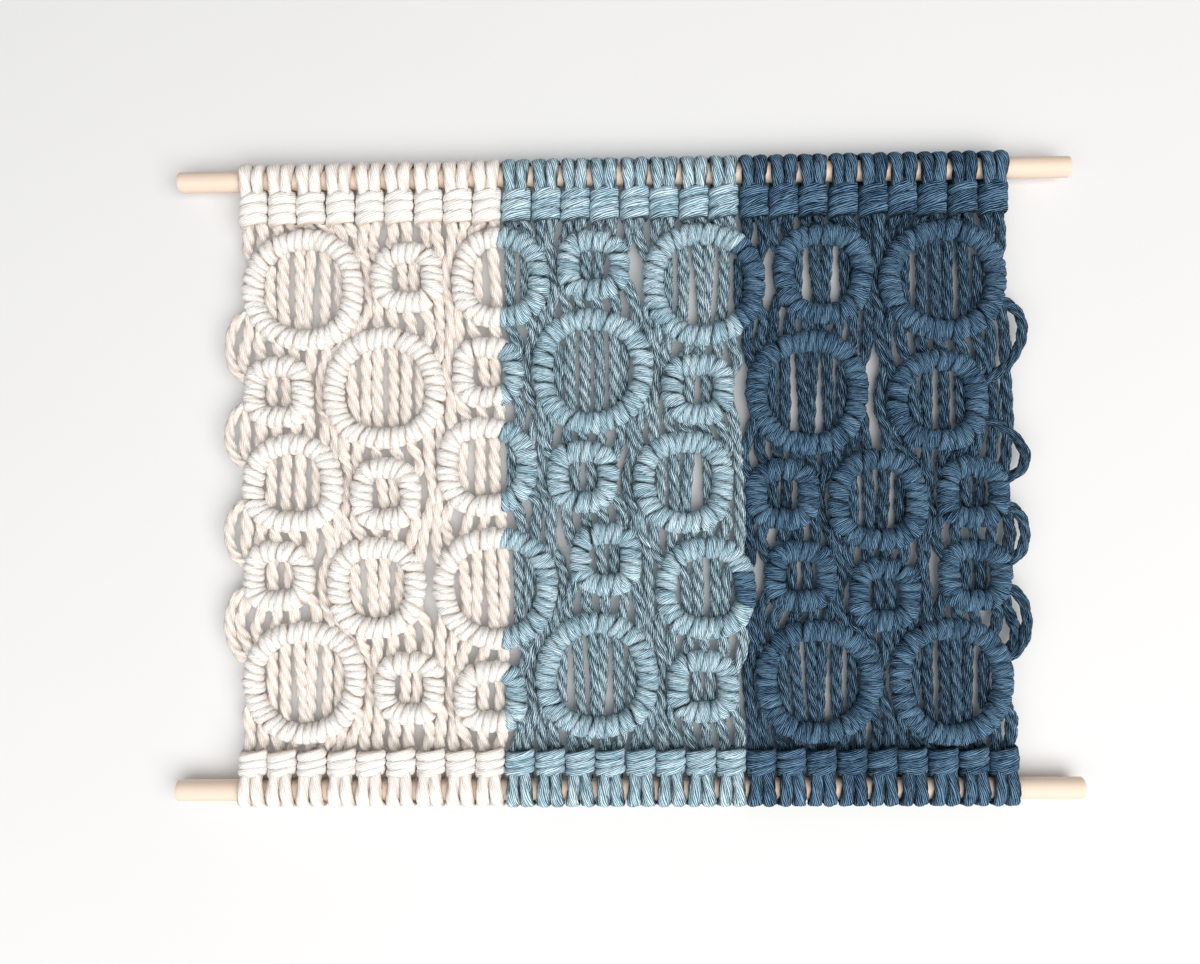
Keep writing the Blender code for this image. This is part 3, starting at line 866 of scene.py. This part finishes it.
def run_between(cords, upper, lower, owners):
    """The stretch of a cord from one anchor down to the next, past any ring that stands close."""
    chance = cords.chance
    (start, start_out), (end, end_out) = upper, lower
    gap = np.linalg.norm(start - end)
    handle = TUCK + HANDLE_SHARE * min(gap, HANDLE_GAP)
    first = start - TUCK * start_out
    fourth = end - TUCK * end_out
    leaves = unit(OUTWARD_SHARE * start_out + (1 - OUTWARD_SHARE) * DOWN)
    enters = unit(OUTWARD_SHARE * end_out - (1 - OUTWARD_SHARE) * DOWN)
    line = evenly(four_point_curve(first, first + handle * leaves, fourth + handle * enters, fourth))
    share = np.linspace(0, 1, len(line))
    loose = np.sin(math.pi * share)
    sway = chance.uniform(-1, 1) * min(MOST_SWAY, SWAY_SHARE * gap)
    bends = math.pi * share * (1 + gap / SWAY_LENGTH) + chance.uniform(0, math.tau)
    line[:, 0] += sway * loose * np.sin(bends)
    line[:, 1] += (STRAND_BACK + chance.uniform(-DEPTH_JITTER, DEPTH_JITTER)) * loose
    for ring in rings:
        if ring["number"] in owners:
            continue
        aside = line - np.array(ring["centre"])
        distance = np.hypot(aside[:, 0], aside[:, 2])
        push = np.clip(ring["outer"] + PASSES_CLEAR_BY - distance, 0, None) * loose**PUSH_SPREAD
        line[:, 0] += push * aside[:, 0] / distance
        line[:, 1] += push * PUSHED_BACK
        line[:, 2] += push * aside[:, 2] / distance
    line[:, 1] = np.minimum(line[:, 1], BACKMOST - FREE_RADIUS)
    hang_loose(cords, evenly(line))


def floats_of(ring):
    """Which of the cords that a ring catches float across its hole: as many as it has room for."""
    floating = list(catches[ring["number"]])[1:-1]
    while len(floating) > ring["most_floats"]:
        floating.pop(len(floating) // 2)
    return floating


def hang_cord(cords, cord, x):
    """One cord's whole way, from its collar below the top dowel down to its collar above the bottom one."""
    side = (-1) ** (cord + 1)
    x += side * (LEAVES_COLLAR_ASIDE - CORD_PITCH / 2)
    upper = (np.array((x, 0.0, -HEADING_DEPTH)), DOWN)
    owner = None
    in_its_way = [ring for ring in rings if cord in catches[ring["number"]]]
    for ring in sorted(in_its_way, key=lambda ring: -ring["centre"].z):
        upper_angle, lower_angle = catches[ring["number"]][cord]
        run_between(cords, upper, anchor_on(ring, upper_angle), (owner, ring["number"]))
        floating = floats_of(ring)
        if cord in floating:
            float_across(cords, ring, floating.index(cord), len(floating))
        upper = anchor_on(ring, math.pi - lower_angle)
        owner = ring["number"]
    footing = (np.array((x, 0.0, -DOWEL_SPACING + FOOTING_DEPTH)), -DOWN)
    run_between(cords, upper, footing, (owner,))


hanging = {dye: Cordage("hanging" + dye) for dye in FIELDS}
catches = [catches_of(ring) for ring in rings]
for cord, x in enumerate(CORD_PLACES):
    hang_cord(hanging[dye_at(x)], cord, x)


# --------------------------------------------------------------------------------------------------
# The side loops: at either edge a length of the hanging's own cord swings out past the knotting, on its
# way from one edge ring down to the next.
# --------------------------------------------------------------------------------------------------
SIDE_LOOP_REACH = 7.4
SIDE_LOOP_RADIUS = 2.6
SIDE_LOOP_ANGLE = math.radians(68)
EDGE_RING_REACH = 9.0

for side in (-1, 1):
    edge = side * KNOTTED_WIDTH / 2
    cords = hanging[dye_at(edge)]
    by_edge = [ring for ring in rings if side * (edge - ring["centre"].x) < ring["outer"] + EDGE_RING_REACH]
    by_edge.sort(key=lambda ring: -ring["centre"].z)
    for upper_ring, lower_ring in zip(by_edge, by_edge[1:]):
        start, start_out = anchor_on(upper_ring, side * (math.pi - SIDE_LOOP_ANGLE))
        end, end_out = anchor_on(lower_ring, side * SIDE_LOOP_ANGLE)
        reach = edge + side * (SIDE_LOOP_REACH - SIDE_LOOP_RADIUS)
        # With a handle of this length the middle of the curve stands at the reach.
        handle = (8 * reach - 4 * (start[0] + end[0])) / (3 * (start_out[0] + end_out[0]))
        curve = four_point_curve(start, start + handle * start_out, end + handle * end_out, end)
        tucked = (start[None] - TUCK * start_out, end[None] - TUCK * end_out)
        hang_loose(cords, evenly(np.concatenate([tucked[0], curve, tucked[1]])), SIDE_LOOP_RADIUS)
for dye, cords in hanging.items():
    cords.hang_as(f"hanging_cords_{dye}", dye)


# --------------------------------------------------------------------------------------------------
# The place: the hanging hangs flat against a pale painted wall, in soft daylight from the lower right.
# The wall is clear from behind and casts no shadow, so that the back shows too. Sizes are in metres.
# --------------------------------------------------------------------------------------------------
WALL_SIZE = 3.0
WALL_BACK = 0.0088
WALL_PALE = (0.655, 0.655, 0.655)
WALL_DARKER = tuple(0.97 * share for share in WALL_PALE)
WALL_MOTTLE_STRETCH = (6.0, 6.0, 6.0)
DAYLIGHT = (0.93, 0.96, 1.0, 1.0)
DAYLIGHT_STRENGTH = 0.30
CAMERA_PLACE = (0.006, -0.5429, -0.1588)
CAMERA_TURN = (1.97, 0.55, 1.71)
CAMERA_LENS = 36.0
CAMERA_SENSOR = 36.0


def wall_paint():
    """Pale matt paint on the side towards the room, and nothing on the other side."""
    finish = Finish("wall_paint", {"Roughness": 0.95, "Specular IOR Level": 0.1})
    place = finish.node("ShaderNodeTexCoord", {}, {}, output=3)
    mottle = finish.noise(place, WALL_MOTTLE_STRETCH)
    finish.feed("Base Color", finish.mixed(mottle, WALL_PALE, WALL_DARKER))
    from_behind = finish.node("ShaderNodeNewGeometry", {}, {}, output="Backfacing")
    painted = Reading(finish, finish.shader.outputs[0])
    clear = finish.node("ShaderNodeBsdfTransparent", {}, {})
    surface = finish.node("ShaderNodeMixShader", {}, {0: from_behind, 1: painted, 2: clear})
    finish.tree.links.new(surface.socket, finish.tree.nodes["Material Output"].inputs[0])
    return finish.material


def build_wall():
    half = WALL_SIZE / 2
    corners = [(-half, -half, 0), (half, -half, 0), (half, half, 0), (-half, half, 0)]
    data = bpy.data.meshes.new("wall")
    data.from_pydata(corners, [], [(0, 1, 2, 3)])
    data.materials.append(wall_paint())
    wall = bpy.data.objects.new("wall", data)
    wall.location = (0, WALL_BACK, 0)
    wall.rotation_euler = (math.pi / 2, 0, 0)
    wall.visible_shadow = False
    bpy.context.scene.collection.objects.link(wall)


def soft_light(name, size, power, place, aim, colour):
    data = bpy.data.lights.new(name, "AREA")
    data.size = size
    data.energy = power
    data.color = colour
    light = bpy.data.objects.new(name, data)
    light.location = place
    light.rotation_euler = (Vector(aim) - Vector(place)).to_track_quat("-Z", "Y").to_euler()
    bpy.context.scene.collection.objects.link(light)


build_wall()
soft_light("key", 2.4, 82.0, (0.9, -2.0, -0.9), (0.0, 0.0, -0.14), (1.0, 0.98, 0.96))
soft_light("fill", 1.2, 6.0, (-0.45, -1.0, -0.8), (-0.05, 0.0, -0.2), (1.0, 0.99, 0.98))
soft_light("back_fill", 1.6, 14.0, (-0.5, 1.5, 0.5), (0.0, 0.0, -0.14), (1.0, 1.0, 1.0))
world = bpy.data.worlds.new("soft_daylight")
world.use_nodes = True
sky = world.node_tree.nodes["Background"]
sky.inputs["Color"].default_value = DAYLIGHT
sky.inputs["Strength"].default_value = DAYLIGHT_STRENGTH
bpy.context.scene.world = world
bpy.context.scene.view_settings.view_transform = "Standard"

camera_data = bpy.data.cameras.new("camera")
camera_data.lens = CAMERA_LENS
camera_data.sensor_width = CAMERA_SENSOR
camera = bpy.data.objects.new("camera", camera_data)
pitch, roll, yaw = (math.radians(turn) for turn in CAMERA_TURN)
turned = Matrix.Rotation(yaw, 4, "Z") @ Matrix.Rotation(pitch, 4, "X") @ Matrix.Rotation(roll, 4, "Y")
camera.matrix_world = Matrix.Translation(CAMERA_PLACE) @ turned @ Matrix.Rotation(math.pi / 2, 4, "X")
bpy.context.scene.collection.objects.link(camera)
bpy.context.scene.camera = camera

bpy.context.view_layer.update()
